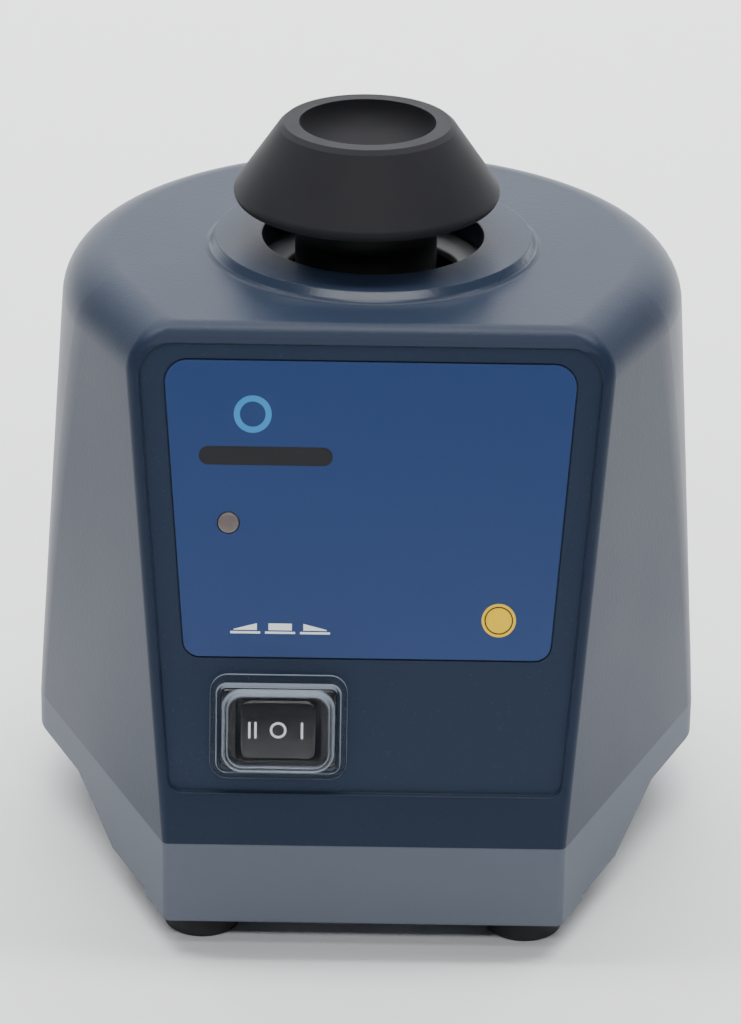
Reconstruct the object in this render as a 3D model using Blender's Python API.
"""Bench vortex mixer: a cast housing on a grey base, a sprung motor cradle and an orbiting rubber cup.

Units are metres and +Z is up. The motor axis is the Z axis, the control face looks along -Y and
the mains inlet is at +Y. The object stands on the plane z = 0.
"""

import math

import bmesh
import bpy
from mathutils import Matrix, Vector

MM = 0.001
GAP = 0.3 * MM
FIT = 0.05 * MM

# Overall housing: round at the back, with a leaning control face in front
BODY_WIDTH = 127.0 * MM
BODY_HEIGHT = 93.6 * MM
BODY_DRAFT = 6.2 * MM
FACE_LEAN = 20.8 * MM
FACE_BOTTOM_WIDTH = 72.8 * MM
FACE_TOP_WIDTH = 87.2 * MM
SIDE_EDGE_ANGLE = math.radians(2.4)
TOP_ROUND = 9.0 * MM
FRONT_ROUND = 4.0 * MM
LOW_CORNER_ROUND = 1.6 * MM
TOP_CORNER_ROUND = 3.6 * MM
FOOT_HEIGHT = 5.5 * MM
BASE_HEIGHT = 15.8 * MM
WALL = 3.0 * MM

BODY_RADIUS = BODY_WIDTH / 2
SPLIT_Z = FOOT_HEIGHT + BASE_HEIGHT
TOP_Z = SPLIT_Z + BODY_HEIGHT
TOP_RADIUS = BODY_RADIUS - BODY_DRAFT
FRONT_BOTTOM_Y = BODY_RADIUS
FRONT_TOP_Y = FRONT_BOTTOM_Y - FACE_LEAN
FRONT_BOTTOM_HALF = FACE_BOTTOM_WIDTH / 2
FRONT_TOP_HALF = FACE_TOP_WIDTH / 2

# Collar and hole in the top of the housing
COLLAR_HEIGHT = 2.1 * MM
COLLAR_TOP_RADIUS = 29.5 * MM
COLLAR_FOOT_RADIUS = 30.7 * MM
HOLE_RADIUS = 20.6 * MM

# Base tray
FLOOR_Z = FOOT_HEIGHT + 10.0 * MM
FLOOR_THICK = 3.0 * MM
FLOOR_TOP = FLOOR_Z + FLOOR_THICK
BASE_WALL = 2.6 * MM
FOOT_RADIUS = 7.25 * MM
FOOT_MARGIN = 1.3 * MM
FOOT_BOSS_WALL = 0.4 * MM
REAR_FOOT_ANGLE = math.radians(46.5)
FOOT_STEM_RADIUS = 2.5 * MM
ARCH_FOOT_HALF = 39.0 * MM
ARCH_TOP_HALF = 22.0 * MM
ARCH_CLEAR = 0.7 * MM
SKIRT_STEP = 1.8 * MM
SCREW_RADIUS = 1.5 * MM
SCREW_BOSS_WALL = 2.7 * MM
SCREW_INSET = BASE_WALL + GAP + SCREW_BOSS_WALL + SCREW_RADIUS
FRONT_SCREW_ALONG = 23.0 * MM
REAR_SCREW_ANGLE = math.radians(20.0)

# Control face
RECESS_DEPTH = 1.0 * MM
RECESS_BOTTOM = 10.4 * MM
RECESS_TOP_MARGIN = 2.9 * MM
RECESS_SIDE_MARGIN = 1.6 * MM
LABEL_THICK = 0.4 * MM
LABEL_BOTTOM = 35.6 * MM
LABEL_TOP_MARGIN = 6.0 * MM
LABEL_SIDE_MARGIN = 6.1 * MM
LED_RADIUS = 1.9 * MM
LED_X = -25.2 * MM
LED_UP = 60.3 * MM
SWITCH_X = -15.8 * MM
SWITCH_UP = 22.7 * MM
SWITCH_WIDTH = 20.8 * MM
SWITCH_HEIGHT = 14.6 * MM

# Mains inlet in the back
REAR_FLAT_INSET = 5.5 * MM
REAR_FLAT_Y = BODY_RADIUS - REAR_FLAT_INSET
INLET_Z = FLOOR_TOP + 30.0 * MM
INLET_WIDTH = 27.0 * MM
INLET_HEIGHT = 31.8 * MM

# Sprung cradle
POST_RADIUS = 2.0 * MM
POST_X = 30.5 * MM
POST_Y = 22.0 * MM
PRESS_TRAVEL = 2.0 * MM
PLATE_Z = FLOOR_TOP + 17.5 * MM
PLATE_THICK = 2.0 * MM
PLATE_TOP = PLATE_Z + PLATE_THICK

# Motor
SHAFT_RADIUS = 3.0 * MM
BUSH_RADIUS = SHAFT_RADIUS + 1.5 * MM
ROTOR_RADIUS = 15.0 * MM
STACK_HEIGHT = 25.0 * MM
STACK_Z = PLATE_TOP + 8.0 * MM
STACK_TOP = STACK_Z + STACK_HEIGHT
BOLT_RADIUS = 1.6 * MM
BOLTS = ((-14.0 * MM, -21.5 * MM), (22.0 * MM, 21.5 * MM))
PILLARS = BOLTS + ((-14.0 * MM, 21.5 * MM), (22.0 * MM, -21.5 * MM))

# Eccentric drive and cup
ORBIT_RADIUS = 2.0 * MM
ORBIT_ANGLE = math.radians(230.0)
ORBIT_X = ORBIT_RADIUS * math.cos(ORBIT_ANGLE)
ORBIT_Y = ORBIT_RADIUS * math.sin(ORBIT_ANGLE)
HUB_Z = TOP_Z - 31.9 * MM
HUB_RADIUS = 9.0 * MM
HUB_HEIGHT = 12.0 * MM
PIN_RADIUS = 4.0 * MM
BEARING_Z = HUB_Z + 14.5 * MM
BEARING_HEIGHT = 7.0 * MM
BEARING_RADIUS = 11.0 * MM
CARRIER_WALL = 2.2 * MM
CARRIER_RADIUS = BEARING_RADIUS + CARRIER_WALL
CUP_Z = TOP_Z + 10.1 * MM
CUP_HEIGHT = 14.5 * MM
CUP_RADIUS = 24.85 * MM
CUP_RIM_RADIUS = 16.5 * MM
CUP_BOWL_RADIUS = 12.6 * MM
STEM_RADIUS = 7.5 * MM

FACE_LENGTH = math.hypot(BODY_HEIGHT, FRONT_BOTTOM_Y - FRONT_TOP_Y)
FACE_UP = Vector((0.0, (FRONT_BOTTOM_Y - FRONT_TOP_Y) / FACE_LENGTH, BODY_HEIGHT / FACE_LENGTH))
FACE_OUT = Vector((0.0, -FACE_UP.z, FACE_UP.y))


def clear_scene():
    for item in list(bpy.data.objects):
        bpy.data.objects.remove(item, do_unlink=True)


def new_collection(name):
    collection = bpy.data.collections.new(name)
    bpy.context.scene.collection.children.link(collection)
    return collection


clear_scene()
MIXER = new_collection("vortex_mixer")
CUTTERS = new_collection("cutters")


def material(name, colour, metallic, roughness, alpha=1.0):
    made = bpy.data.materials.new(name)
    made.use_nodes = True
    shader = made.node_tree.nodes["Principled BSDF"]
    shader.inputs["Base Color"].default_value = (*colour, 1.0)
    shader.inputs["Metallic"].default_value = metallic
    shader.inputs["Roughness"].default_value = roughness
    shader.inputs["Alpha"].default_value = alpha
    return made


BLUE_PAINT = material("blue_paint", (0.030, 0.052, 0.105), 0.0, 0.42)
GREY_PLASTIC = material("grey_plastic", (0.150, 0.170, 0.200), 0.0, 0.50)
LABEL_FILM = material("label_film", (0.030, 0.085, 0.215), 0.0, 0.40)
BLACK_RUBBER = material("black_rubber", (0.018, 0.018, 0.019), 0.0, 0.60)
BLACK_PLASTIC = material("black_plastic", (0.012, 0.012, 0.013), 0.0, 0.35)
CLEAR_SILICONE = material("clear_silicone", (0.80, 0.83, 0.86), 0.0, 0.20, 0.35)
LENS_PLASTIC = material("lens_plastic", (0.15, 0.12, 0.11), 0.0, 0.25)
BOARD_LAMINATE = material("board_laminate", (0.02, 0.12, 0.05), 0.0, 0.45)
BRIGHT_STEEL = material("bright_steel", (0.60, 0.60, 0.62), 1.0, 0.28)
ZINC_STEEL = material("zinc_steel", (0.50, 0.50, 0.48), 1.0, 0.38)
CORE_STEEL = material("core_steel", (0.22, 0.22, 0.23), 1.0, 0.50)
CAST_ALUMINIUM = material("cast_aluminium", (0.55, 0.56, 0.57), 1.0, 0.45)
COIL_TAPE = material("coil_tape", (0.30, 0.24, 0.05), 0.0, 0.45)
SINTERED_BRONZE = material("sintered_bronze", (0.45, 0.27, 0.12), 1.0, 0.45)
BRASS = material("brass", (0.70, 0.50, 0.20), 1.0, 0.30)
PALE_PLASTIC = material("pale_plastic", (0.42, 0.43, 0.44), 0.0, 0.50)
GLASS = material("glass", (0.85, 0.87, 0.87), 0.0, 0.05, 0.4)
BLUE_WIRE = material("blue_wire", (0.03, 0.10, 0.45), 0.0, 0.40)
BROWN_WIRE = material("brown_wire", (0.12, 0.04, 0.02), 0.0, 0.40)


def mm(*points):
    """Points given in millimetres, as metres."""
    return [tuple(value * MM for value in point) for point in points]


def finish(name, bm, surface, matrix=None, smooth=False, cutter=False):
    """Make the object from the bmesh, with normals outward and sharp edges kept sharp."""
    bmesh.ops.recalc_face_normals(bm, faces=bm.faces)
    for face in bm.faces:
        face.smooth = smooth
    for edge in bm.edges:
        if smooth and len(edge.link_faces) == 2 and edge.calc_face_angle() > math.radians(32.0):
            edge.smooth = False
    mesh = bpy.data.meshes.new(name)
    bm.to_mesh(mesh)
    bm.free()
    made = bpy.data.objects.new(name, mesh)
    if matrix is not None:
        made.matrix_world = matrix
    if cutter:
        CUTTERS.objects.link(made)
        made.hide_render = True
        made.display_type = "WIRE"
    else:
        MIXER.objects.link(made)
        mesh.materials.append(surface)
    return made


def boolean(target, operation, other):
    modifier = target.modifiers.new(other.name, "BOOLEAN")
    modifier.operation = operation
    modifier.solver = "EXACT"
    modifier.object = other


def at(x, y, z=0.0):
    return Matrix.Translation((x, y, z))


def on_face(x, up, out=0.0):
    """Matrix of a frame on the leaning control face: X across, Y up the face, Z outward."""
    turn = Matrix((
        (1.0, 0.0, 0.0, 0.0),
        (0.0, FACE_UP.y, FACE_OUT.y, -FRONT_BOTTOM_Y),
        (0.0, FACE_UP.z, FACE_OUT.z, SPLIT_Z),
        (0.0, 0.0, 0.0, 1.0),
    ))
    return turn @ at(x, up, out)


def loft(bm, rings, closed=False):
    """Skin rings of equal length in order. Ends are capped unless the rings close on themselves."""
    rows = [[bm.verts.new(point) for point in ring] for ring in rings]
    pairs = list(zip(rows, rows[1:]))
    if closed:
        pairs.append((rows[-1], rows[0]))
    count = len(rows[0])
    for low, high in pairs:
        for i in range(count):
            j = (i + 1) % count
            bm.faces.new((low[i], low[j], high[j], high[i]))
    if not closed:
        bm.faces.new(reversed(rows[0]))
        bm.faces.new(rows[-1])


def level(outline, z):
    return [(x, y, z) for x, y in outline]


def add_prism(bm, outline, z0, z1):
    loft(bm, [level(outline, z0), level(outline, z1)])


def circle(radius, count, x=0.0, y=0.0):
    turns = [2 * math.pi * i / count for i in range(count)]
    return [(x + radius * math.cos(a), y + radius * math.sin(a)) for a in turns]


def add_cylinder(bm, radius, z0, z1, x=0.0, y=0.0, count=24):
    add_prism(bm, circle(radius, count, x, y), z0, z1)


def add_turned(bm, profile, count):
    """Spin a closed profile of (radius, z) points about Z."""
    verts = [bm.verts.new((radius, 0.0, z)) for radius, z in profile]
    edges = [bm.edges.new((a, b)) for a, b in zip(verts, verts[1:] + verts[:1])]
    bmesh.ops.spin(
        bm, geom=verts + edges, cent=(0, 0, 0), axis=(0, 0, 1),
        angle=2 * math.pi, steps=count, use_merge=True,
    )
    bmesh.ops.remove_doubles(bm, verts=bm.verts, dist=1e-7)


def turned(name, profile, surface, count=32, matrix=None):
    bm = bmesh.new()
    add_turned(bm, profile, count)
    loose = [face for face in bm.faces if face.calc_area() < 1e-13]
    bmesh.ops.delete(bm, geom=loose, context="FACES")
    wires = [edge for edge in bm.edges if not edge.link_faces]
    bmesh.ops.delete(bm, geom=wires, context="EDGES")
    return finish(name, bm, surface, matrix, smooth=True)


def corner_arc(before, corner, after, radius, steps):
    """Points that round one corner of an outline."""
    before, corner, after = Vector(before), Vector(corner), Vector(after)
    back = (before - corner).normalized()
    ahead = (after - corner).normalized()
    half = math.acos(max(-1.0, min(1.0, back.dot(ahead)))) / 2
    centre = corner + (back + ahead).normalized() * (radius / math.sin(half))
    start = corner + back * (radius / math.tan(half)) - centre
    end = corner + ahead * (radius / math.tan(half)) - centre
    turn = start.angle_signed(end)
    points = []
    for i in range(steps + 1):
        angle = -turn * i / steps
        arm = Vector((
            start.x * math.cos(angle) - start.y * math.sin(angle),
            start.x * math.sin(angle) + start.y * math.cos(angle),
        ))
        points.append(tuple(centre + arm))
    return points


def rounded(corners, radii, steps=4):
    """Convex outline with each corner rounded by its own radius."""
    count = len(corners)
    points = []
    for i in range(count):
        before, after = corners[i - 1], corners[(i + 1) % count]
        points += corner_arc(before, corners[i], after, radii[i], steps)
    return points


def rounded_rectangle(width, height, radius, steps=4, x=0.0, y=0.0):
    a, b = width / 2, height / 2
    corners = [(x - a, y - b), (x + a, y - b), (x + a, y + b), (x - a, y + b)]
    return rounded(corners, [radius] * 4, steps)


def facet(z):
    """Right-hand side facet at height z: its front corner, its direction and the radius of the back."""
    k = max(0.0, (z - SPLIT_Z) / BODY_HEIGHT)
    half = FRONT_BOTTOM_HALF + (FRONT_TOP_HALF - FRONT_BOTTOM_HALF) * k
    depth = FRONT_BOTTOM_Y - FACE_LEAN * k
    radius = BODY_RADIUS - BODY_DRAFT * k
    reach = math.hypot(FRONT_TOP_HALF, FRONT_TOP_Y)
    tangent = math.atan2(FRONT_TOP_Y, FRONT_TOP_HALF) - math.acos(min(1.0, TOP_RADIUS / reach))
    angle = SIDE_EDGE_ANGLE + (tangent - SIDE_EDGE_ANGLE) * k
    corner = Vector((half, -depth))
    meet = Vector((radius * math.cos(angle), -radius * math.sin(angle)))
    return corner, (meet - corner).normalized(), radius


def section(z, side=0.0, front=None):
    """Plan outline of the body at height z, moved inward by side (and by front at the control face).

    The back is round; at the front a flat control face joins it through two flat facets.
    """
    front = side if front is None else front
    k = max(0.0, (z - SPLIT_Z) / BODY_HEIGHT)
    corner, along, radius = facet(z)
    depth = -corner.y
    foot = corner + Vector((-along.y, along.x)) * side
    corner = foot + along * ((front - depth - foot.y) / along.y)
    radius -= side
    reach = foot.dot(along)
    root = max(0.0, reach * reach - foot.length_squared + radius * radius)
    meet = foot + along * (math.sqrt(root) - reach)
    soft = 3.0 * MM
    angle = math.atan2(meet.y, meet.x) + soft / radius
    leave = meet - along * soft
    arrive = Vector((radius * math.cos(angle), radius * math.sin(angle)))
    points = corner_arc((0.0, corner.y), corner, meet, LOW_CORNER_ROUND + (TOP_CORNER_ROUND - LOW_CORNER_ROUND) * k, 4)
    for i in range(4):
        t = i / 3
        blend = leave * (1 - t) ** 2 + meet * (2 * t * (1 - t)) + arrive * t ** 2
        points.append(tuple(blend))
    steps = 12
    for i in range(1, steps + 1):
        turn = angle + (math.pi / 2 - angle) * i / steps
        points.append((radius * math.cos(turn), radius * math.sin(turn)))
    return points + [(-x, y) for x, y in reversed(points[:-1])]


# ---------------------------------------------------------------- base tray, feet and screws


def four_places(front, rear):
    """Name and place of a front and a rear point, each on both sides."""
    return (
        ("front_left", -front[0], front[1]),
        ("front_right", front[0], front[1]),
        ("rear_left", -rear[0], rear[1]),
        ("rear_right", rear[0], rear[1]),
    )


def at_angle(reach, angle):
    return (reach * math.cos(angle), reach * math.sin(angle))


# Each foot stands one margin inside the skirt; each screw boss grows out of the shell wall.
foot_inset = BASE_WALL + FOOT_RADIUS + FOOT_MARGIN
corner, along, _ = facet(0.0)
inward = Vector((-along.y, along.x))
start = corner + inward * (foot_inset - 0.6 * MM)
front_foot = start + along * ((foot_inset - FRONT_BOTTOM_Y - start.y) / along.y)
front_screw = corner + inward * SCREW_INSET + along * FRONT_SCREW_ALONG
FOOT_PLACES = four_places(front_foot, at_angle(BODY_RADIUS - foot_inset, REAR_FOOT_ANGLE))
SCREW_PLACES = four_places(front_screw, at_angle(BODY_RADIUS - SCREW_INSET, REAR_SCREW_ANGLE))
POST_PLACES = four_places((POST_X, -POST_Y), (POST_X, POST_Y))
POST_BOSS_TOP = FLOOR_TOP + 3.5 * MM
BASE_TOP = SPLIT_Z - GAP / 2
SHELL_BOTTOM = SPLIT_Z + GAP / 2

bm = bmesh.new()
loft(bm, [
    level(section(0.0, BASE_WALL), FLOOR_TOP),
    level(section(0.0, BASE_WALL), BASE_TOP),
    level(section(0.0), BASE_TOP),
    level(section(0.0), FOOT_HEIGHT + 0.8 * MM),
    level(section(0.0, 0.8 * MM), FOOT_HEIGHT),
    level(section(0.0, BASE_WALL), FOOT_HEIGHT),
    level(section(0.0, BASE_WALL), FLOOR_Z),
])
base_plate = finish("base_plate", bm, GREY_PLASTIC, smooth=True)

bm = bmesh.new()
for _, x, y in FOOT_PLACES:
    add_cylinder(bm, FOOT_RADIUS + FOOT_BOSS_WALL, FOOT_HEIGHT, FLOOR_Z + 1.0 * MM, x, y, 20)
for _, x, y in POST_PLACES:
    add_cylinder(bm, POST_RADIUS + 2.4 * MM, FLOOR_TOP - 1.0 * MM, POST_BOSS_TOP, x, y, 12)
add_prism(bm, rounded_rectangle(20.0 * MM, 7.0 * MM, 1.0 * MM, 2), FLOOR_TOP - 1.0 * MM, POST_BOSS_TOP)
boolean(base_plate, "UNION", finish("base_bosses", bm, None, cutter=True))

# The skirt is arched up on both sides and a little higher behind the front corners.
arch = [
    (-ARCH_FOOT_HALF, FOOT_HEIGHT - 1.0 * MM),
    (ARCH_FOOT_HALF, FOOT_HEIGHT - 1.0 * MM),
    (ARCH_FOOT_HALF, FOOT_HEIGHT + SKIRT_STEP),
    (ARCH_TOP_HALF, FLOOR_Z - ARCH_CLEAR),
    (-ARCH_TOP_HALF, FLOOR_Z - ARCH_CLEAR),
    (-ARCH_FOOT_HALF, FOOT_HEIGHT + SKIRT_STEP),
]
bm = bmesh.new()
loft(bm, [[(x, y, z) for y, z in arch] for x in (-1.2 * BODY_RADIUS, 1.2 * BODY_RADIUS)])
boolean(base_plate, "DIFFERENCE", finish("base_arch_cut", bm, None, cutter=True))

bm = bmesh.new()
step_x = front_foot.x + FOOT_RADIUS + FOOT_BOSS_WALL + 0.6 * MM
step_y = front_foot.y - 2.0 * MM
for sign in (-1, 1):
    step = [
        (sign * step_x, step_y), (sign * 1.4 * BODY_RADIUS, step_y),
        (sign * 1.4 * BODY_RADIUS, 1.0 * MM - ARCH_FOOT_HALF), (sign * step_x, 1.0 * MM - ARCH_FOOT_HALF),
    ]
    add_prism(bm, step, FOOT_HEIGHT - 1.0 * MM, FOOT_HEIGHT + SKIRT_STEP)
for _, x, y in FOOT_PLACES:
    add_cylinder(bm, FOOT_STEM_RADIUS + FIT, FOOT_HEIGHT - 0.5 * MM, FLOOR_Z - 1.0 * MM, x, y, 16)
for _, x, y in SCREW_PLACES:
    add_cylinder(bm, SCREW_RADIUS + GAP, FLOOR_Z - 2.0 * MM, FLOOR_TOP + 1.0 * MM, x, y, 12)
for _, x, y in POST_PLACES:
    add_cylinder(bm, POST_RADIUS + 2 * FIT, FLOOR_Z - 1.0 * MM, POST_BOSS_TOP + 1.0 * MM, x, y, 16)
boolean(base_plate, "DIFFERENCE", finish("base_holes_cut", bm, None, cutter=True))

foot_profile = [
    (0.0, 1.2 * MM),
    (2.5 * MM, 1.2 * MM),
    (3.0 * MM, 0.0),
    (FOOT_RADIUS - 1.0 * MM, 0.0),
    (FOOT_RADIUS, 1.0 * MM),
    (FOOT_RADIUS, FOOT_HEIGHT - GAP),
    (FOOT_STEM_RADIUS, FOOT_HEIGHT - GAP),
    (FOOT_STEM_RADIUS, FLOOR_Z - 1.4 * MM),
    (0.0, FLOOR_Z - 1.4 * MM),
]
for place, x, y in FOOT_PLACES:
    turned("foot_" + place, foot_profile, BLACK_RUBBER, 20, at(x, y))

SCREW_HEAD_Z = FLOOR_Z - GAP
screw_profile = [
    (0.0, SCREW_HEAD_Z - 1.0 * MM),
    (1.2 * MM, SCREW_HEAD_Z - 1.3 * MM),
    (1.4 * MM, SCREW_HEAD_Z - 2.2 * MM),
    (2.6 * MM, SCREW_HEAD_Z - 1.9 * MM),
    (3.2 * MM, SCREW_HEAD_Z - 1.2 * MM),
    (3.2 * MM, SCREW_HEAD_Z),
    (SCREW_RADIUS, SCREW_HEAD_Z),
    (SCREW_RADIUS, FLOOR_TOP + 14.0 * MM),
    (0.0, FLOOR_TOP + 14.6 * MM),
]
for place, x, y in SCREW_PLACES:
    turned("housing_screw_" + place, screw_profile, ZINC_STEEL, 12, at(x, y))

# ---------------------------------------------------------------- housing shell


def front_round(z, radius):
    over = max(0.0, z - (TOP_Z - radius))
    return radius - math.sqrt(max(0.0, radius * radius - over * over))


outer_rings = []
for i in range(5):
    z = SHELL_BOTTOM + (TOP_Z - TOP_ROUND - SHELL_BOTTOM) * i / 4
    outer_rings.append(level(section(z), z))
for i in range(1, 7):
    turn = math.radians(15.0 * i)
    z = TOP_Z - TOP_ROUND * (1 - math.sin(turn))
    side = TOP_ROUND * (1 - math.cos(turn))
    outer_rings.append(level(section(z, side, front_round(z, FRONT_ROUND)), z))

REAR_INSIDE_Y = REAR_FLAT_Y - WALL
INNER_ROUND = TOP_ROUND - WALL
inner_rings = []
for i in range(4):
    z = SHELL_BOTTOM + (TOP_Z - TOP_ROUND - SHELL_BOTTOM) * i / 3
    inner_rings.append(level(section(z, WALL), z))
for i in range(1, 4):
    turn = math.radians(30.0 * i)
    z = TOP_Z - TOP_ROUND + INNER_ROUND * math.sin(turn)
    side = WALL + INNER_ROUND * (1 - math.cos(turn))
    inner_rings.append(level(section(z, side, WALL + 1.5 * MM * (1 - math.cos(turn))), z))
inner_rings = [[(x, min(y, REAR_INSIDE_Y), z) for x, y, z in ring] for ring in inner_rings]

bm = bmesh.new()
loft(bm, inner_rings[::-1] + outer_rings)
housing_shell = finish("housing_shell", bm, BLUE_PAINT, smooth=True)

LED_BOARD_OUT = -6.8 * MM
bm = bmesh.new()
add_turned(bm, [
    (HOLE_RADIUS - 1.0 * MM, TOP_Z - WALL + 0.5 * MM),
    (COLLAR_FOOT_RADIUS, TOP_Z - WALL + 0.5 * MM),
    (COLLAR_FOOT_RADIUS, TOP_Z),
    (COLLAR_TOP_RADIUS, TOP_Z + COLLAR_HEIGHT),
    (HOLE_RADIUS - 1.0 * MM, TOP_Z + COLLAR_HEIGHT),
], 48)
for _, x, y in SCREW_PLACES:
    add_cylinder(bm, SCREW_RADIUS + SCREW_BOSS_WALL, FLOOR_TOP + GAP, FLOOR_TOP + 22.0 * MM, x, y, 14)
boolean(housing_shell, "UNION", finish("shell_bosses", bm, None, cutter=True))

bm = bmesh.new()
for x in (-7.0 * MM, 7.0 * MM):
    add_cylinder(bm, 1.6 * MM, LED_BOARD_OUT + GAP, -WALL + 0.8 * MM, x, 0.0, 12)
boolean(housing_shell, "UNION", finish("led_posts", bm, None, on_face(LED_X, LED_UP), cutter=True))


def face_outline(low, high, margin, low_round, high_round):
    """Trapezium on the control face from low to high, one margin inside the face's side edges."""
    spread = (FRONT_TOP_HALF - FRONT_BOTTOM_HALF) / FACE_LENGTH
    p = FRONT_BOTTOM_HALF + spread * low - margin
    q = FRONT_BOTTOM_HALF + spread * high - margin
    corners = [(-p, low), (p, low), (q, high), (-q, high)]
    return rounded(corners, [low_round, low_round, high_round, high_round], 5)


recess_top = FACE_LENGTH - RECESS_TOP_MARGIN
label_top = FACE_LENGTH - LABEL_TOP_MARGIN
RECESS = face_outline(RECESS_BOTTOM, recess_top, RECESS_SIDE_MARGIN, 2.5 * MM, 6.0 * MM)
LABEL = face_outline(LABEL_BOTTOM, label_top, LABEL_SIDE_MARGIN, 3.0 * MM, 4.0 * MM)
LABEL_POCKET = face_outline(
    LABEL_BOTTOM - GAP, label_top + GAP, LABEL_SIDE_MARGIN - GAP, 3.0 * MM + GAP, 4.0 * MM + GAP
)
LABEL_FLOOR = -RECESS_DEPTH - LABEL_THICK

bm = bmesh.new()
add_prism(bm, RECESS, -RECESS_DEPTH, 4.0 * MM)
boolean(housing_shell, "DIFFERENCE", finish("recess_cut", bm, None, on_face(0, 0), cutter=True))

bm = bmesh.new()
add_prism(bm, LABEL_POCKET, LABEL_FLOOR, 3.0 * MM)
boolean(housing_shell, "DIFFERENCE", finish("label_pocket_cut", bm, None, on_face(0, 0), cutter=True))

SWITCH_BODY_WIDTH = SWITCH_WIDTH - 2.2 * MM
SWITCH_BODY_HEIGHT = SWITCH_HEIGHT - 2.2 * MM
bm = bmesh.new()
add_cylinder(bm, LED_RADIUS + GAP / 2, -8.0 * MM, 5.0 * MM, LED_X, LED_UP, 24)
hole = rounded_rectangle(
    SWITCH_BODY_WIDTH + 2 * GAP, SWITCH_BODY_HEIGHT + 2 * GAP, 0.6 * MM, 2, SWITCH_X, SWITCH_UP
)
add_prism(bm, hole, -8.0 * MM, 5.0 * MM)
boolean(housing_shell, "DIFFERENCE", finish("face_holes_cut", bm, None, on_face(0, 0), cutter=True))

bm = bmesh.new()
add_cylinder(bm, HOLE_RADIUS, TOP_Z - 12.0 * MM, TOP_Z + 8.0 * MM, count=48)
for _, x, y in SCREW_PLACES:
    add_cylinder(bm, SCREW_RADIUS + 2 * FIT, FLOOR_TOP - 1.0 * MM, FLOOR_TOP + 15.5 * MM, x, y, 12)
pocket = rounded_rectangle(36.0 * MM, INLET_HEIGHT + 9.0 * MM, 2.5 * MM, 4, 0.0, INLET_Z)
loft(bm, [[(x, y, z) for x, z in pocket] for y in (REAR_FLAT_Y, BODY_RADIUS + 5.0 * MM)])
boolean(housing_shell, "DIFFERENCE", finish("shell_cut", bm, None, cutter=True))

bm = bmesh.new()
hole = rounded_rectangle(INLET_WIDTH + 2 * GAP, INLET_HEIGHT + 2 * GAP, 1.0 * MM, 2, 0.0, INLET_Z)
loft(bm, [[(x, y, z) for x, z in hole] for y in (REAR_INSIDE_Y - 6.0 * MM, BODY_RADIUS)])
boolean(housing_shell, "DIFFERENCE", finish("inlet_cut", bm, None, cutter=True))

turned("drip_ring", [
    (CARRIER_RADIUS + ORBIT_RADIUS + 1.4 * MM, TOP_Z - WALL - 3.4 * MM),
    (HOLE_RADIUS + 5.9 * MM, TOP_Z - WALL - 3.4 * MM),
    (HOLE_RADIUS + 5.9 * MM, TOP_Z - WALL - GAP),
    (HOLE_RADIUS + 1.0 * MM, TOP_Z - WALL - GAP),
    (CARRIER_RADIUS + ORBIT_RADIUS + 1.4 * MM, TOP_Z - WALL - 1.9 * MM),
], PALE_PLASTIC, 36)

# ---------------------------------------------------------------- label, lamp and switch

bm = bmesh.new()
add_prism(bm, LABEL, LABEL_FLOOR + FIT, -RECESS_DEPTH)
front_label = finish("front_label", bm, LABEL_FILM, on_face(0, 0))
bm = bmesh.new()
add_cylinder(bm, LED_RADIUS + GAP / 2, -4.0 * MM, 4.0 * MM, count=24)
boolean(front_label, "DIFFERENCE", finish("label_cut", bm, None, on_face(LED_X, LED_UP), cutter=True))

turned("led_lens", [
    (0.0, -5.2 * MM),
    (LED_RADIUS - 0.5 * MM, -5.2 * MM),
    (LED_RADIUS, -4.7 * MM),
    (LED_RADIUS, -RECESS_DEPTH),
    (LED_RADIUS * 0.78, -0.62 * MM),
    (LED_RADIUS * 0.42, -0.42 * MM),
    (0.0, -0.35 * MM),
], LENS_PLASTIC, 24, on_face(LED_X, LED_UP))

bm = bmesh.new()
add_prism(bm, rounded_rectangle(20.0 * MM, 10.0 * MM, 1.0 * MM, 2), LED_BOARD_OUT - 1.4 * MM, LED_BOARD_OUT)
led_board = finish("led_board", bm, BOARD_LAMINATE, on_face(LED_X, LED_UP))
bm = bmesh.new()
add_cylinder(bm, 1.5 * MM, LED_BOARD_OUT - 0.5 * MM, -5.5 * MM, count=16)
boolean(led_board, "UNION", finish("led_chip", bm, None, on_face(LED_X, LED_UP), cutter=True))

# The switch stands on the recess floor; its body passes through the wall.
BEZEL_TOP = -RECESS_DEPTH + 1.8 * MM
BEZEL_FOOT = -RECESS_DEPTH + FIT
SWITCH_BACK = -17.0 * MM
OPENING_WIDTH = SWITCH_WIDTH - 5.5 * MM
OPENING_HEIGHT = SWITCH_HEIGHT - 3.1 * MM
OPENING_FLOOR = -10.0 * MM
body = rounded_rectangle(SWITCH_BODY_WIDTH, SWITCH_BODY_HEIGHT, 0.5 * MM, 3)
bezel = rounded_rectangle(SWITCH_WIDTH, SWITCH_HEIGHT, 1.2 * MM, 3)
bezel_top = rounded_rectangle(SWITCH_WIDTH - 1.0 * MM, SWITCH_HEIGHT - 1.0 * MM, 1.0 * MM, 3)
opening = rounded_rectangle(OPENING_WIDTH, OPENING_HEIGHT, 0.9 * MM, 3)
bm = bmesh.new()
loft(bm, [
    level(body, SWITCH_BACK),
    level(body, BEZEL_FOOT),
    level(bezel, BEZEL_FOOT),
    level(bezel, BEZEL_TOP - 0.5 * MM),
    level(bezel_top, BEZEL_TOP),
    level(opening, BEZEL_TOP),
    level(opening, OPENING_FLOOR),
])
switch_frame = finish("switch_frame", bm, BLACK_PLASTIC, on_face(SWITCH_X, SWITCH_UP))
TERMINALS = (-6.0 * MM, 0.0, 6.0 * MM)
bm = bmesh.new()
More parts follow.
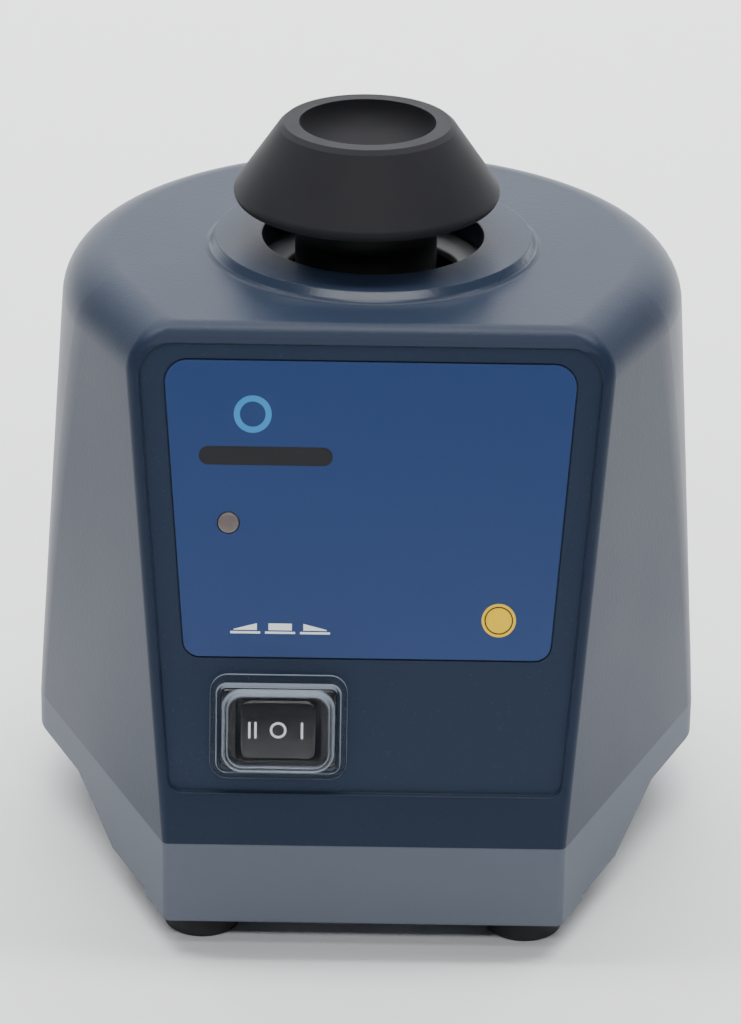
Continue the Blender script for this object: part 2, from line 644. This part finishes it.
for x in TERMINALS:
    add_prism(
        bm, rounded_rectangle(0.8 * MM + 2 * FIT, 4.8 * MM + 2 * FIT, 0.1 * MM, 1, x),
        SWITCH_BACK - 1.0 * MM, SWITCH_BACK + 3.0 * MM,
    )
cutter = finish("terminal_cut", bm, None, on_face(SWITCH_X, SWITCH_UP), cutter=True)
boolean(switch_frame, "DIFFERENCE", cutter)
for number, x in enumerate(TERMINALS, 1):
    bm = bmesh.new()
    blade = rounded_rectangle(0.8 * MM, 4.8 * MM, 0.2 * MM, 1)
    tip = rounded_rectangle(0.5 * MM, 3.6 * MM, 0.1 * MM, 1)
    loft(bm, [
        level(tip, SWITCH_BACK - 7.0 * MM),
        level(blade, SWITCH_BACK - 6.0 * MM),
        level(blade, SWITCH_BACK + 2.6 * MM),
    ])
    finish("switch_terminal_%d" % number, bm, BRASS, on_face(SWITCH_X + x, SWITCH_UP))

# The rocker turns about a line that runs up the face. Its origin is on that line.
ROCKER_AXIS_OUT = -2.0 * MM
a = OPENING_WIDTH / 2 - 0.85 * MM
profile = [
    (-a, 3.6 * MM), (-a + 0.5 * MM, 4.25 * MM), (-a * 0.5, 3.95 * MM), (0.0, 3.85 * MM),
    (a * 0.5, 3.95 * MM), (a - 0.5 * MM, 4.25 * MM), (a, 3.6 * MM),
    (a * 0.72, -2.4 * MM), (a * 0.35, -4.6 * MM), (-a * 0.35, -4.6 * MM), (-a * 0.72, -2.4 * MM),
]
bm = bmesh.new()
half = OPENING_HEIGHT / 2 - GAP
inset = [(x * 0.96, z - (0.25 * MM if z > 0 else 0.0)) for x, z in profile]
loft(bm, [
    [(x, -half, z) for x, z in inset],
    [(x, -half + 0.5 * MM, z) for x, z in profile],
    [(x, half - 0.5 * MM, z) for x, z in profile],
    [(x, half, z) for x, z in inset],
])
finish("switch_rocker", bm, BLACK_PLASTIC, on_face(SWITCH_X, SWITCH_UP, ROCKER_AXIS_OUT), smooth=True)

COVER_WALL = 0.6 * MM


def cover_ring(width, height, radius, out):
    return level(rounded_rectangle(SWITCH_WIDTH + width, SWITCH_HEIGHT + height, radius, 4), out)


bm = bmesh.new()
FLANGE = 4.1 * MM
loft(bm, [
    cover_ring(-3.4 * MM, -2.2 * MM, 2.3 * MM, BEZEL_TOP + 3.3 * MM),
    cover_ring(-2.0 * MM, -0.9 * MM, 2.9 * MM, BEZEL_TOP + 2.6 * MM),
    cover_ring(-2.0 * MM, -0.9 * MM, 2.9 * MM, BEZEL_TOP + GAP),
    cover_ring(2 * GAP, 2 * GAP, 1.3 * MM, BEZEL_TOP + GAP),
    cover_ring(2 * GAP, 2 * GAP, 1.3 * MM, BEZEL_FOOT),
    cover_ring(FLANGE, FLANGE + 0.8 * MM, 3.2 * MM, BEZEL_FOOT),
    cover_ring(FLANGE, FLANGE + 0.8 * MM, 3.2 * MM, BEZEL_FOOT + 0.8 * MM),
    cover_ring(2.0 * MM, 2.0 * MM, 2.0 * MM, BEZEL_FOOT + 0.95 * MM),
    cover_ring(1.8 * MM, 1.8 * MM, 2.0 * MM, BEZEL_TOP + GAP + 0.5 * MM),
    cover_ring(-0.6 * MM, 0.5 * MM, 3.5 * MM, BEZEL_TOP + GAP + 0.8 * MM),
    cover_ring(-0.8 * MM, 0.3 * MM, 3.5 * MM, BEZEL_TOP + 2.8 * MM),
    cover_ring(-2.2 * MM, -1.1 * MM, 3.0 * MM, BEZEL_TOP + 3.9 * MM),
])
finish("switch_cover", bm, CLEAR_SILICONE, on_face(SWITCH_X, SWITCH_UP), smooth=True)

# ---------------------------------------------------------------- mains inlet and fuse

TO_BACK = Matrix((
    (-1.0, 0.0, 0.0, 0.0),
    (0.0, 0.0, 1.0, REAR_FLAT_Y),
    (0.0, 1.0, 0.0, INLET_Z),
    (0.0, 0.0, 0.0, 1.0),
))
INLET_DEPTH = 20.0 * MM
BEZEL_OUT = 2.4 * MM
SOCKET_UP = 5.6 * MM
DRAWER_UP = -10.9 * MM
SOCKET_DEPTH = 15.5 * MM
inlet_outline = rounded_rectangle(INLET_WIDTH, INLET_HEIGHT, 0.8 * MM, 3)
flange = rounded_rectangle(INLET_WIDTH + 4.0 * MM, INLET_HEIGHT + 5.2 * MM, 1.5 * MM, 3)
flange_top = rounded_rectangle(INLET_WIDTH + 3.0 * MM, INLET_HEIGHT + 4.2 * MM, 1.5 * MM, 3)
bm = bmesh.new()
loft(bm, [
    level(inlet_outline, -INLET_DEPTH),
    level(inlet_outline, FIT),
    level(flange, FIT),
    level(flange, BEZEL_OUT - 0.5 * MM),
    level(flange_top, BEZEL_OUT),
])
inlet_body = finish("inlet_body", bm, BLACK_PLASTIC, TO_BACK)

a, b, chamfer = 12.0 * MM, 8.2 * MM, 4.0 * MM
socket = [
    (-a, SOCKET_UP - b), (a, SOCKET_UP - b), (a, SOCKET_UP + b - chamfer),
    (a - chamfer, SOCKET_UP + b), (chamfer - a, SOCKET_UP + b), (-a, SOCKET_UP + b - chamfer),
]
PINS = (
    ("inlet_pin_live", -7.0 * MM, SOCKET_UP - 2.0 * MM, 11.5 * MM),
    ("inlet_pin_neutral", 7.0 * MM, SOCKET_UP - 2.0 * MM, 11.5 * MM),
    ("inlet_pin_earth", 0.0, SOCKET_UP + 2.0 * MM, 13.0 * MM),
)
DRAWER_WIDTH = 24.0 * MM
DRAWER_HEIGHT = 8.4 * MM
DRAWER_DEPTH = 14.0 * MM
bm = bmesh.new()
add_prism(bm, socket, BEZEL_OUT - SOCKET_DEPTH, BEZEL_OUT + 2.0 * MM)
drawer_hole = rounded_rectangle(DRAWER_WIDTH + 2 * GAP, DRAWER_HEIGHT + 2 * GAP, 0.5 * MM, 1, 0.0, DRAWER_UP)
add_prism(bm, drawer_hole, BEZEL_OUT - DRAWER_DEPTH - 1.0 * MM, BEZEL_OUT + 2.0 * MM)
boolean(inlet_body, "DIFFERENCE", finish("inlet_hollow_cut", bm, None, TO_BACK, cutter=True))
bm = bmesh.new()
for _, x, up, _ in PINS:
    slot = rounded_rectangle(2.0 * MM + 2 * FIT, 4.0 * MM + 2 * FIT, 0.3 * MM, 1, x, up)
    add_prism(bm, slot, -INLET_DEPTH - 1.0 * MM, BEZEL_OUT - SOCKET_DEPTH + 1.0 * MM)
boolean(inlet_body, "DIFFERENCE", finish("inlet_pin_cut", bm, None, TO_BACK, cutter=True))
for name, x, up, reach in PINS:
    bm = bmesh.new()
    blade = rounded_rectangle(2.0 * MM, 4.0 * MM, 0.3 * MM, 1, x, up)
    tip = rounded_rectangle(1.2 * MM, 3.2 * MM, 0.2 * MM, 1, x, up)
    end = BEZEL_OUT - SOCKET_DEPTH + reach
    loft(bm, [
        level(blade, -INLET_DEPTH - 6.0 * MM),
        level(blade, end - 1.0 * MM),
        level(tip, end),
    ])
    finish(name, bm, BRASS, TO_BACK)

# The drawer is a tray with a cap. The fuse lies across it in an open trough.
bm = bmesh.new()
add_prism(
    bm, rounded_rectangle(DRAWER_WIDTH, DRAWER_HEIGHT, 0.5 * MM, 1, 0.0, DRAWER_UP),
    BEZEL_OUT - DRAWER_DEPTH, BEZEL_OUT + 0.8 * MM,
)
fuse_drawer = finish("fuse_drawer", bm, BLACK_PLASTIC, TO_BACK)
FUSE_OUT = BEZEL_OUT - 7.5 * MM
FUSE_RADIUS = 2.6 * MM
bm = bmesh.new()
trough = rounded_rectangle(21.0 * MM, 8.0 * MM, 0.5 * MM, 1, 0.0, DRAWER_UP + 1.6 * MM)
add_prism(bm, trough, FUSE_OUT - 3.2 * MM, FUSE_OUT + 3.2 * MM)
boolean(fuse_drawer, "DIFFERENCE", finish("trough_cut", bm, None, TO_BACK, cutter=True))
bm = bmesh.new()
notch = rounded_rectangle(6.0 * MM, 2.4 * MM, 0.4 * MM, 1, 0.0, DRAWER_UP + DRAWER_HEIGHT / 2)
add_prism(bm, notch, BEZEL_OUT - 0.4 * MM, BEZEL_OUT + 2.0 * MM)
boolean(fuse_drawer, "DIFFERENCE", finish("grip_cut", bm, None, TO_BACK, cutter=True))
lie_down = TO_BACK @ at(0.0, DRAWER_UP + 0.85 * MM, FUSE_OUT) @ Matrix.Rotation(math.pi / 2, 4, "Y")
turned("fuse", mm(
    (0.0, -10.0), (2.4, -10.0), (2.6, -9.8), (2.6, -5.2), (2.4, -5.0),
    (2.4, 5.0), (2.6, 5.2), (2.6, 9.8), (2.4, 10.0), (0.0, 10.0),
), GLASS, 16, lie_down)

# ---------------------------------------------------------------- sprung cradle

POST_HEAD_Z = PLATE_TOP + GAP
post_profile = [
    (0.0, FLOOR_Z + 0.4 * MM),
    (POST_RADIUS - 0.4 * MM, FLOOR_Z + 0.4 * MM),
    (POST_RADIUS, FLOOR_Z + 0.8 * MM),
    (POST_RADIUS, POST_HEAD_Z),
    (POST_RADIUS + 1.8 * MM, POST_HEAD_Z),
    (POST_RADIUS + 1.8 * MM, POST_HEAD_Z + 1.4 * MM),
    (POST_RADIUS + 1.0 * MM, POST_HEAD_Z + 2.2 * MM),
    (0.0, POST_HEAD_Z + 2.2 * MM),
]
for place, x, y in POST_PLACES:
    turned("guide_post_" + place, post_profile, BRIGHT_STEEL, 16, at(x, y))

bm = bmesh.new()
PLATE_HALF_X = POST_X + 6.0 * MM
PLATE_HALF_Y = POST_Y + 6.0 * MM
add_prism(bm, rounded_rectangle(2 * PLATE_HALF_X, 2 * PLATE_HALF_Y, 5.0 * MM, 4), PLATE_Z, PLATE_TOP)
cradle_plate = finish("cradle_plate", bm, ZINC_STEEL)
bm = bmesh.new()
for _, x, y in POST_PLACES:
    add_cylinder(bm, POST_RADIUS + 0.4 * MM, PLATE_Z - 1.0 * MM, PLATE_TOP + 1.0 * MM, x, y, 16)
boolean(cradle_plate, "DIFFERENCE", finish("cradle_plate_cut", bm, None, cutter=True))


def coil_spring(name, x, y, low, high, coil_radius, wire_radius, turns):
    """Coil of round wire with closed ends."""
    low, high = low + wire_radius, high - wire_radius
    steps = 10
    total = int(turns * steps)
    curve = bpy.data.curves.new(name, "CURVE")
    curve.dimensions = "3D"
    curve.bevel_depth = wire_radius
    curve.bevel_resolution = 0
    curve.use_fill_caps = True
    spline = curve.splines.new("POLY")
    spline.points.add(total)
    dead = 0.75 * steps
    for i in range(total + 1):
        share = min(1.0, max(0.0, (i - dead) / (total - 2 * dead)))
        rise = 2.1 * wire_radius
        z = low + rise * min(1.0, i / dead) + (high - low - 2 * rise) * share
        z += rise * max(0.0, (i - total + dead) / dead)
        turn = 2 * math.pi * i / steps
        point = (coil_radius * math.cos(turn), coil_radius * math.sin(turn), z, 1.0)
        spline.points[i].co = point
    made = bpy.data.objects.new(name, curve)
    made.matrix_world = at(x, y)
    curve.materials.append(BRIGHT_STEEL)
    MIXER.objects.link(made)


for place, x, y in POST_PLACES:
    coil_spring(
        "spring_" + place, x, y, POST_BOSS_TOP + FIT, PLATE_Z - FIT,
        POST_RADIUS + 1.35 * MM, 0.45 * MM, 5.0,
    )

# ---------------------------------------------------------------- motor

PILLAR_RADIUS = BOLT_RADIUS + 1.6 * MM
HUB_RING = BUSH_RADIUS + 3.4 * MM
low_foot = PLATE_TOP + FIT
low_top = low_foot + 2.5 * MM
low_hub_top = STACK_Z - 1.2 * MM
bm = bmesh.new()
add_prism(bm, rounded_rectangle(44.0 * MM, 50.0 * MM, 4.0 * MM, 3, 4.0 * MM), low_foot, low_top)
lower_bracket = finish("lower_bracket", bm, CAST_ALUMINIUM)
bm = bmesh.new()
add_cylinder(bm, HUB_RING, low_top - 0.5 * MM, low_hub_top, count=20)
for x, y in PILLARS:
    add_cylinder(bm, PILLAR_RADIUS, low_top - 0.5 * MM, STACK_Z - FIT, x, y, 12)
boolean(lower_bracket, "UNION", finish("lower_bracket_add", bm, None, cutter=True))
bm = bmesh.new()
add_cylinder(bm, BUSH_RADIUS + FIT, low_foot + 1.2 * MM, low_hub_top + 1.0 * MM, count=24)
for x, y in BOLTS:
    add_cylinder(bm, BOLT_RADIUS + FIT, low_foot + 0.8 * MM, STACK_Z + 1.0 * MM, x, y, 16)
boolean(lower_bracket, "DIFFERENCE", finish("lower_bracket_cut", bm, None, cutter=True))

UPPER_PLATE_Z = STACK_TOP + 4.0 * MM
UPPER_PLATE_TOP = UPPER_PLATE_Z + 2.5 * MM
UPPER_HUB_Z = UPPER_PLATE_Z - 1.8 * MM
UPPER_HUB_TOP = UPPER_PLATE_TOP + 3.0 * MM
bm = bmesh.new()
add_prism(bm, rounded_rectangle(44.0 * MM, 50.0 * MM, 4.0 * MM, 3, 4.0 * MM), UPPER_PLATE_Z, UPPER_PLATE_TOP)
upper_bracket = finish("upper_bracket", bm, CAST_ALUMINIUM)
bm = bmesh.new()
add_cylinder(bm, HUB_RING, UPPER_HUB_Z, UPPER_HUB_TOP, count=20)
for x, y in PILLARS:
    add_cylinder(bm, PILLAR_RADIUS, STACK_TOP + FIT, UPPER_PLATE_Z + 0.5 * MM, x, y, 12)
boolean(upper_bracket, "UNION", finish("upper_bracket_add", bm, None, cutter=True))
bm = bmesh.new()
add_cylinder(bm, BUSH_RADIUS + FIT, UPPER_HUB_Z - 1.0 * MM, UPPER_HUB_TOP + 1.0 * MM, count=24)
for x, y in BOLTS:
    add_cylinder(bm, BOLT_RADIUS + 0.2 * MM, STACK_TOP - 1.0 * MM, UPPER_PLATE_TOP + 1.0 * MM, x, y, 16)
boolean(upper_bracket, "DIFFERENCE", finish("upper_bracket_cut", bm, None, cutter=True))

for name, low, high in (
    ("lower_bush", low_foot + 1.5 * MM, low_hub_top - 0.3 * MM),
    ("upper_bush", UPPER_HUB_Z + 0.3 * MM, UPPER_HUB_TOP - 0.3 * MM),
):
    turned(name, [
        (SHAFT_RADIUS + FIT, low), (BUSH_RADIUS, low), (BUSH_RADIUS, high), (SHAFT_RADIUS + FIT, high),
    ], SINTERED_BRONZE, 24)

COIL_BAR = 9.0 * MM
STACK_LEFT = -40.0 * MM
STACK_RIGHT = 28.0 * MM
WINDOW_HALF = 15.5 * MM
stack_outline = rounded(
    [(STACK_LEFT, -26.0 * MM), (STACK_RIGHT, -26.0 * MM), (STACK_RIGHT, 26.0 * MM), (STACK_LEFT, 26.0 * MM)],
    [1.5 * MM, 6.0 * MM, 6.0 * MM, 1.5 * MM], 3,
)
bm = bmesh.new()
add_prism(bm, stack_outline, STACK_Z, STACK_TOP)
stator = finish("stator_laminations", bm, CORE_STEEL)
bm = bmesh.new()
add_cylinder(bm, ROTOR_RADIUS + 0.4 * MM, STACK_Z - 1.0 * MM, STACK_TOP + 1.0 * MM, count=40)
window_mid = STACK_LEFT + COIL_BAR + 6.6 * MM
window = rounded_rectangle(13.2 * MM, 2 * WINDOW_HALF, 0.8 * MM, 1, window_mid)
add_prism(bm, window, STACK_Z - 1.0 * MM, STACK_TOP + 1.0 * MM)
for x, y in BOLTS:
    add_cylinder(bm, BOLT_RADIUS + 0.2 * MM, STACK_Z - 1.0 * MM, STACK_TOP + 1.0 * MM, x, y, 16)
boolean(stator, "DIFFERENCE", finish("stator_cut", bm, None, cutter=True))

# The coil is wound round the outer bar of the core, so its outline stands upright across Y.
bar_mid = STACK_LEFT + COIL_BAR / 2
stack_mid = (STACK_Z + STACK_TOP) / 2
inner = rounded_rectangle(COIL_BAR + 2 * GAP, STACK_HEIGHT + 2 * GAP, 0.4 * MM, 4, bar_mid, stack_mid)
outer = rounded_rectangle(COIL_BAR + 14.0 * MM, STACK_HEIGHT + 14.0 * MM, 4.0 * MM, 4, bar_mid, stack_mid)
coil_half = WINDOW_HALF - 0.7 * MM
rings = []
for outline, y in ((outer, -coil_half), (outer, coil_half), (inner, coil_half), (inner, -coil_half)):
    rings.append([(x, y, z) for x, z in outline])
bm = bmesh.new()
loft(bm, rings, closed=True)
finish("stator_coil", bm, COIL_TAPE)

bolt_profile = [
    (0.0, low_foot + 1.2 * MM),
    (BOLT_RADIUS, low_foot + 1.6 * MM),
    (BOLT_RADIUS, UPPER_PLATE_TOP + FIT),
    (BOLT_RADIUS * 1.9, UPPER_PLATE_TOP + FIT),
    (BOLT_RADIUS * 1.9, UPPER_PLATE_TOP + 1.6 * MM),
    (BOLT_RADIUS * 1.5, UPPER_PLATE_TOP + 2.2 * MM),
    (0.0, UPPER_PLATE_TOP + 2.2 * MM),
]
for name, (x, y) in zip(("motor_bolt_front", "motor_bolt_rear"), BOLTS):
    turned(name, bolt_profile, ZINC_STEEL, 16, at(x, y))

turned("rotor_core", [
    (SHAFT_RADIUS + FIT, STACK_Z + 0.3 * MM),
    (10.0 * MM, STACK_Z + 0.3 * MM),
    (10.4 * MM, STACK_Z - 0.9 * MM),
    (ROTOR_RADIUS - 0.6 * MM, STACK_Z - 0.9 * MM),
    (ROTOR_RADIUS, STACK_Z + 0.3 * MM),
    (ROTOR_RADIUS, STACK_TOP - 0.3 * MM),
    (ROTOR_RADIUS - 0.6 * MM, STACK_TOP + 1.2 * MM),
    (10.4 * MM, STACK_TOP + 1.2 * MM),
    (10.0 * MM, STACK_TOP - 0.3 * MM),
    (SHAFT_RADIUS + FIT, STACK_TOP - 0.3 * MM),
], CORE_STEEL, 28)

shaft_low = low_foot + 1.8 * MM
shaft_high = HUB_Z + HUB_HEIGHT - 2.3 * MM
turned("motor_shaft", [
    (0.0, shaft_low),
    (SHAFT_RADIUS - 0.4 * MM, shaft_low),
    (SHAFT_RADIUS, shaft_low + 0.4 * MM),
    (SHAFT_RADIUS, shaft_high - 0.4 * MM),
    (SHAFT_RADIUS - 0.4 * MM, shaft_high),
    (0.0, shaft_high),
], BRIGHT_STEEL, 24)

# ---------------------------------------------------------------- eccentric drive

bm = bmesh.new()
add_cylinder(bm, HUB_RADIUS, HUB_Z, HUB_Z + HUB_HEIGHT, count=32)
eccentric_hub = finish("eccentric_hub", bm, ZINC_STEEL, smooth=True)
bm = bmesh.new()
pin_top = BEARING_Z + BEARING_HEIGHT + 1.0 * MM
add_cylinder(bm, PIN_RADIUS + 1.2 * MM, HUB_Z + HUB_HEIGHT - 0.5 * MM, BEARING_Z - 0.1 * MM, ORBIT_X, ORBIT_Y)
boolean(eccentric_hub, "UNION", finish("pin_shoulder", bm, None, cutter=True))
bm = bmesh.new()
add_cylinder(bm, PIN_RADIUS, HUB_Z + HUB_HEIGHT - 1.0 * MM, pin_top, ORBIT_X, ORBIT_Y)
boolean(eccentric_hub, "UNION", finish("eccentric_pin", bm, None, cutter=True))
bm = bmesh.new()
add_cylinder(bm, SHAFT_RADIUS + FIT, HUB_Z - 1.0 * MM, HUB_Z + HUB_HEIGHT - 2.0 * MM)
boolean(eccentric_hub, "DIFFERENCE", finish("hub_bore_cut", bm, None, cutter=True))

WEIGHT_RADIUS = HUB_RADIUS + 9.0 * MM
heavy = ORBIT_ANGLE + math.pi
outline = []
for i in range(21):
    turn = heavy + math.radians(-75.0 + 150.0 * i / 20)
    outline.append((WEIGHT_RADIUS * math.cos(turn), WEIGHT_RADIUS * math.sin(turn)))
for i in range(13):
    turn = heavy + math.radians(95.0 + 170.0 * i / 12)
    outline.append(((HUB_RADIUS + 3.0 * MM) * math.cos(turn), (HUB_RADIUS + 3.0 * MM) * math.sin(turn)))
bm = bmesh.new()
add_prism(bm, outline, HUB_Z + 1.5 * MM, HUB_Z + 9.5 * MM)
counterweight = finish("counterweight", bm, CORE_STEEL)
bm = bmesh.new()
add_cylinder(bm, HUB_RADIUS + FIT, HUB_Z - 1.0 * MM, HUB_Z + HUB_HEIGHT + 1.0 * MM, count=32)
boolean(counterweight, "DIFFERENCE", finish("counterweight_cut", bm, None, cutter=True))

ECCENTRIC = at(ORBIT_X, ORBIT_Y)
BEARING_TOP = BEARING_Z + BEARING_HEIGHT
BALL_TRACK = (PIN_RADIUS + BEARING_RADIUS) / 2
BALL_RADIUS = 1.9 * MM
groove = BALL_RADIUS + 0.25 * MM
inner_land = BALL_TRACK - 1.3 * MM
outer_land = BALL_TRACK + 1.3 * MM
mid = (BEARING_Z + BEARING_TOP) / 2


def grooved(plain, land, away):
    """Ring profile with a round ball groove in the land side; away is +1 when the groove faces out."""
    points = [(plain, BEARING_Z), (land, BEARING_Z)]
    reach = math.sqrt(groove ** 2 - (land - BALL_TRACK) ** 2)
    open_angle = math.atan2(reach, abs(land - BALL_TRACK))
    for i in range(5):
        turn = -open_angle + 2 * open_angle * i / 4
        points.append((BALL_TRACK - away * groove * math.cos(turn), mid + groove * math.sin(turn)))
    return points + [(land, BEARING_TOP), (plain, BEARING_TOP)]


turned("bearing_inner_ring", grooved(PIN_RADIUS + FIT, inner_land, 1), BRIGHT_STEEL, 20, ECCENTRIC)
turned("bearing_outer_ring", grooved(BEARING_RADIUS, outer_land, -1), BRIGHT_STEEL, 32, ECCENTRIC)
turn_cage = [
    (BALL_TRACK - 0.7 * MM, mid - 1.2 * MM), (BALL_TRACK + 0.7 * MM, mid - 1.2 * MM),
    (BALL_TRACK + 0.7 * MM, mid + 1.2 * MM), (BALL_TRACK - 0.7 * MM, mid + 1.2 * MM),
]
ball_cage = turned("ball_cage", turn_cage, BRASS, 21, ECCENTRIC)
bm = bmesh.new()
for i in range(7):
    turn = 2 * math.pi * i / 7
    place = at(BALL_TRACK * math.cos(turn), BALL_TRACK * math.sin(turn), mid)
    bmesh.ops.create_icosphere(bm, subdivisions=2, radius=BALL_RADIUS, matrix=place)
boolean(ball_cage, "UNION", finish("balls", bm, None, ECCENTRIC, cutter=True))

carrier_low = BEARING_Z - 1.0 * MM
turned("head_carrier", [
    (0.0, BEARING_TOP + 2.4 * MM),
    (BEARING_RADIUS - 2.5 * MM, BEARING_TOP + 2.4 * MM),
    (BEARING_RADIUS - 2.5 * MM, BEARING_TOP + 0.1 * MM),
    (BEARING_RADIUS + FIT, BEARING_TOP + 0.1 * MM),
    (BEARING_RADIUS + FIT, carrier_low),
    (CARRIER_RADIUS - 0.4 * MM, carrier_low),
    (CARRIER_RADIUS, carrier_low + 0.5 * MM),
    (CARRIER_RADIUS, CUP_Z - GAP),
    (STEM_RADIUS, CUP_Z - GAP),
    (STEM_RADIUS, CUP_Z + 3.6 * MM),
    (STEM_RADIUS - 0.6 * MM, CUP_Z + 4.2 * MM),
    (0.0, CUP_Z + 4.2 * MM),
], BLACK_PLASTIC, 32, ECCENTRIC)

rim = CUP_Z + CUP_HEIGHT
bowl = CUP_BOWL_RADIUS
slope = (CUP_RADIUS - CUP_RIM_RADIUS) / (CUP_HEIGHT - 1.2 * MM)
turned("cup_head", [
    (0.0, rim - 7.6 * MM),
    (bowl * 0.36, rim - 7.4 * MM),
    (bowl * 0.66, rim - 6.6 * MM),
    (bowl * 0.86, rim - 5.0 * MM),
    (bowl * 0.95, rim - 2.8 * MM),
    (bowl, rim - 0.35 * MM),
    (bowl + 0.35 * MM, rim),
    (CUP_RIM_RADIUS - 1.0 * MM, rim),
    (CUP_RIM_RADIUS, rim - 0.8 * MM),
    (CUP_RADIUS - 1.1 * MM, CUP_Z + 2.1 * MM),
    (CUP_RADIUS - 0.25 * MM, CUP_Z + 1.15 * MM),
    (CUP_RADIUS, CUP_Z + 0.55 * MM),
    (CUP_RADIUS - 0.35 * MM, CUP_Z + 0.1 * MM),
    (CUP_RADIUS - 1.0 * MM, CUP_Z),
    (CUP_RADIUS - 2.2 * MM, CUP_Z),
    (CARRIER_RADIUS + 1.6 * MM, CUP_Z + 3.4 * MM),
    (CARRIER_RADIUS, CUP_Z),
    (STEM_RADIUS + GAP, CUP_Z),
    (STEM_RADIUS + GAP, CUP_Z + 4.5 * MM),
    (0.0, CUP_Z + 4.5 * MM),
], BLACK_RUBBER, 40, ECCENTRIC)

# ---------------------------------------------------------------- touch switch

TOUCH_Z = POST_BOSS_TOP + FIT
TOUCH_TOP = TOUCH_Z + 10.2 * MM
PLUNGER_TOP = PLATE_Z - FIT
bm = bmesh.new()
add_prism(bm, rounded_rectangle(19.8 * MM, 6.4 * MM, 0.4 * MM, 2), TOUCH_Z, TOUCH_TOP)
touch_body = finish("touch_switch_body", bm, BLACK_PLASTIC)
bm = bmesh.new()
add_cylinder(bm, 1.5 * MM, TOUCH_TOP - 6.6 * MM, TOUCH_TOP + 1.0 * MM, count=16)
boolean(touch_body, "DIFFERENCE", finish("touch_cut", bm, None, cutter=True))
turned("touch_plunger", [
    (0.0, TOUCH_TOP - 4.2 * MM),
    (1.2 * MM, TOUCH_TOP - 4.2 * MM),
    (1.2 * MM, PLUNGER_TOP - 0.5 * MM),
    (0.7 * MM, PLUNGER_TOP),
    (0.0, PLUNGER_TOP),
], PALE_PLASTIC, 16)


def wire(name, points, surface):
    curve = bpy.data.curves.new(name, "CURVE")
    curve.dimensions = "3D"
    curve.bevel_depth = 0.9 * MM
    curve.bevel_resolution = 1
    curve.resolution_u = 3
    curve.use_fill_caps = True
    spline = curve.splines.new("NURBS")
    spline.points.add(len(points) - 1)
    for target, point in zip(spline.points, points):
        target.co = (*point, 1.0)
    spline.order_u = 4
    spline.use_endpoint_u = True
    made = bpy.data.objects.new(name, curve)
    curve.materials.append(surface)
    MIXER.objects.link(made)


live_start = TO_BACK @ Vector((-7.0 * MM, SOCKET_UP - 2.0 * MM, -INLET_DEPTH - 7.3 * MM))
live_end = on_face(SWITCH_X + 6.0 * MM, SWITCH_UP) @ Vector((0.0, 0.0, SWITCH_BACK - 8.4 * MM))
wire("wire_live", [
    live_start,
    live_start + Vector((3.0 * MM, -4.0 * MM, 0.0)),
    (36.0 * MM, 30.0 * MM, live_start.z + 2.0 * MM),
    (43.0 * MM, 10.0 * MM, live_start.z + 2.0 * MM),
    (42.0 * MM, -16.0 * MM, live_start.z),
    (26.0 * MM, -36.0 * MM, live_end.z + 4.0 * MM),
    (live_end.x + 8.0 * MM, -33.0 * MM, live_end.z + 1.0 * MM),
    live_end + FACE_OUT * -0.6 * MM + Vector((1.0 * MM, 0.0, 0.0)),
    live_end,
], BROWN_WIRE)
touch_start = on_face(SWITCH_X - 6.0 * MM, SWITCH_UP) @ Vector((0.0, 0.0, SWITCH_BACK - 8.4 * MM))
wire("wire_touch", [
    touch_start,
    touch_start + Vector((0.0, 1.0 * MM, -4.0 * MM)),
    (touch_start.x + 2.0 * MM, -34.0 * MM, FLOOR_TOP + 6.0 * MM),
    (-16.0 * MM, -26.0 * MM, FLOOR_TOP + 3.0 * MM),
    (-15.0 * MM, -10.0 * MM, FLOOR_TOP + 5.0 * MM),
    (-14.0 * MM, 0.0, TOUCH_Z + 4.0 * MM),
    (-11.2 * MM, 0.0, TOUCH_Z + 4.0 * MM),
], BLUE_WIRE)
